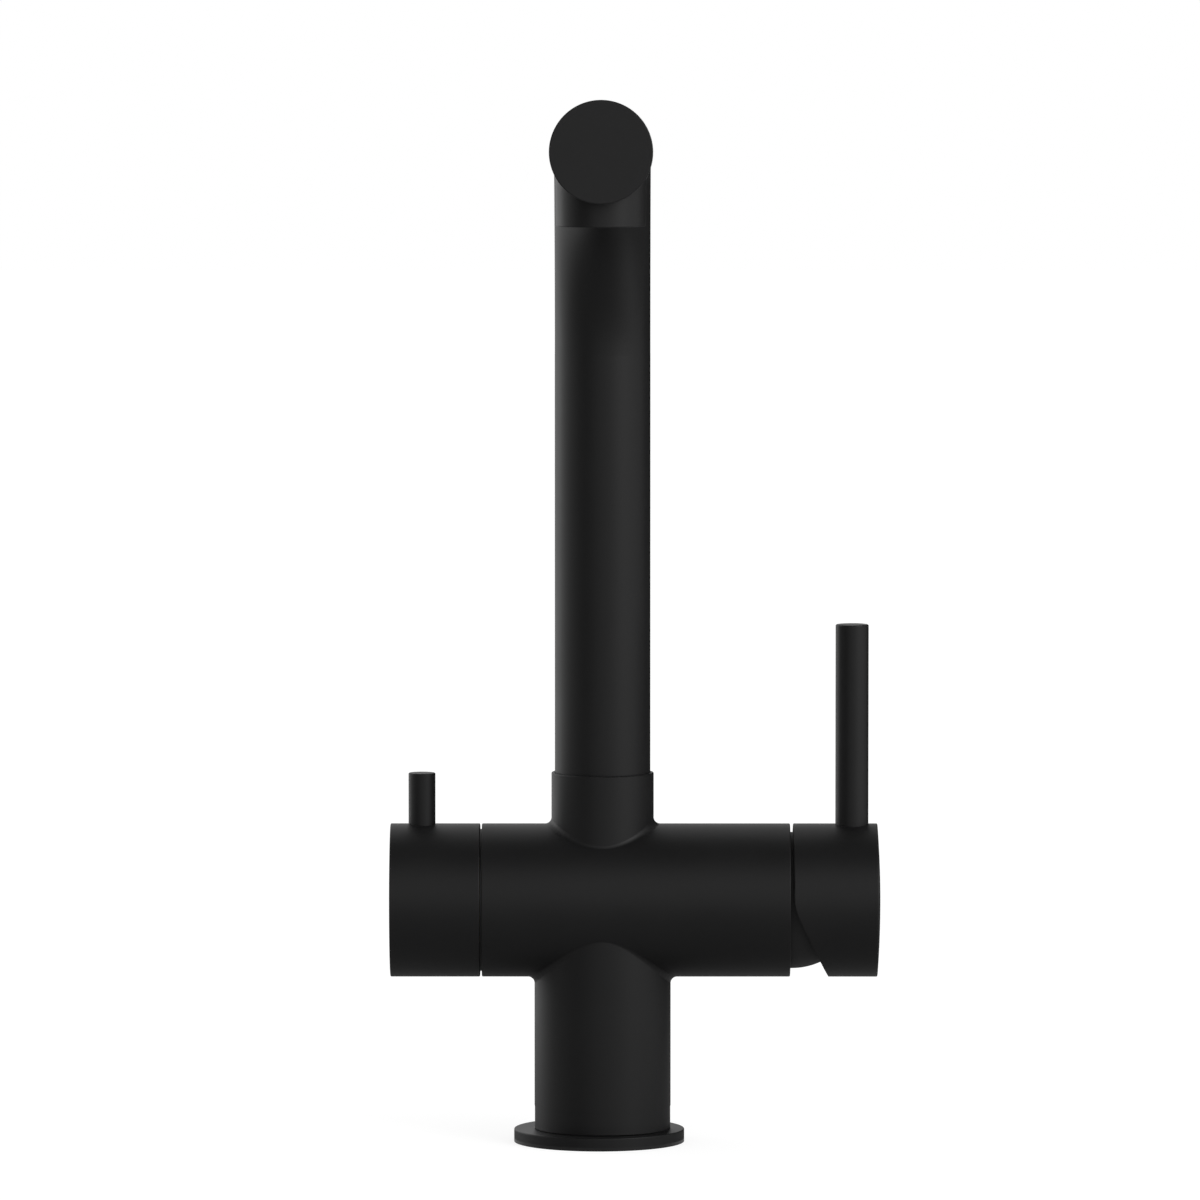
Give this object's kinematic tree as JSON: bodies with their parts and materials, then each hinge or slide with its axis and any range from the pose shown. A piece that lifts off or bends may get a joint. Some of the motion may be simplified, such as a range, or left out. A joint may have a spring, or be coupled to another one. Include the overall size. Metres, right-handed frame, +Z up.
{
  "type": "kitchen tap",
  "caption": "Matt black kitchen tap with a cross barrel, a long tube spout, a mixer lever knob at one end and a filtered-water knob at the other.",
  "frame": {"origin": "centre of the pedestal's underside on the worktop, on the spout's swivel axis", "axes": "+Z up along the pedestal and the swivel axis; -Y towards the user, the way the spout points at rest; +X towards the mixer knob"},
  "size_m": [0.1437, 0.2733, 0.3124],
  "materials": {
    "black_paint": "matt",
    "black_plastic": "matt",
    "steel": "turned",
    "brass": "turned",
    "rubber": "moulded",
    "ceramic": "lapped",
    "pale_plastic": "moulded",
    "grey_plastic": "moulded"
  },
  "bodies": {
    "root": {"tap_body": "black_paint", "foot_block": "black_paint", "foot_screws": "steel", "port_seals": "rubber", "base_flange": "black_paint", "base_seal": "rubber", "cartridge_base": "pale_plastic", "cartridge_seals": "rubber", "cartridge_housing": "pale_plastic", "fixed_disc": "ceramic", "cartridge_nut": "brass", "dome_cover": "black_paint", "valve_bonnet": "brass", "bonnet_seals": "rubber", "valve_lip_seal": "rubber", "valve_fixed_disc": "ceramic", "knob_glide_ring": "black_plastic", "tube_socket": "brass", "socket_seal": "rubber", "spout_glide_ring": "pale_plastic", "spout_lock_screw": "steel"},
    "spout": {"spout_tube": "black_paint", "spout_end_cap": "black_paint", "swivel_bush": "brass", "spout_seals": "rubber", "inner_tube": "steel", "nozzle_housing": "black_paint", "aerator_shell": "black_plastic", "aerator_insert": "grey_plastic", "aerator_seal": "rubber", "centre_outlet": "grey_plastic"},
    "mixer_rotor": {"cartridge_rotor": "grey_plastic", "pivot_pin": "steel"},
    "mixer_slide": {"disc_carrier": "grey_plastic", "moving_disc": "ceramic"},
    "mixer_lever": {"lever_stem": "steel", "mixer_knob": "black_paint", "lever_pin": "black_paint"},
    "filter_handle": {"filter_knob": "black_paint", "filter_pin": "black_paint", "valve_spindle": "brass", "valve_moving_disc": "ceramic", "spindle_clip": "steel", "spindle_seals": "rubber"}
  },
  "joints": [
    {"name": "spout_swivel", "type": "hinge", "parent": "root", "child": "spout", "pos_m": [0, 0, 0.1], "axis": [0, 0, 1], "continuous": true},
    {"name": "mixer_temperature", "type": "hinge", "parent": "root", "child": "mixer_rotor", "pos_m": [0.0556, 0, 0.0712], "axis": [1, 0, 0], "range_deg": [-50, 50]},
    {"name": "mixer_lift", "type": "hinge", "parent": "mixer_rotor", "child": "mixer_lever", "pos_m": [0.0556, 0, 0.0712], "axis": [0, 1, 0], "range_deg": [0, 25]},
    {"name": "disc_slide", "type": "slide", "parent": "mixer_rotor", "child": "mixer_slide", "axis": [0, 0, 1], "range_m": [0, 0.00849]},
    {"name": "filter_turn", "type": "hinge", "parent": "root", "child": "filter_handle", "pos_m": [-0.05, 0, 0.0712], "axis": [1, 0, 0], "range_deg": [0, 90]}
  ],
  "couplings": [
    {"joint": "disc_slide", "follows": "mixer_lift", "m_per_rad": 0.019449}
  ]
}
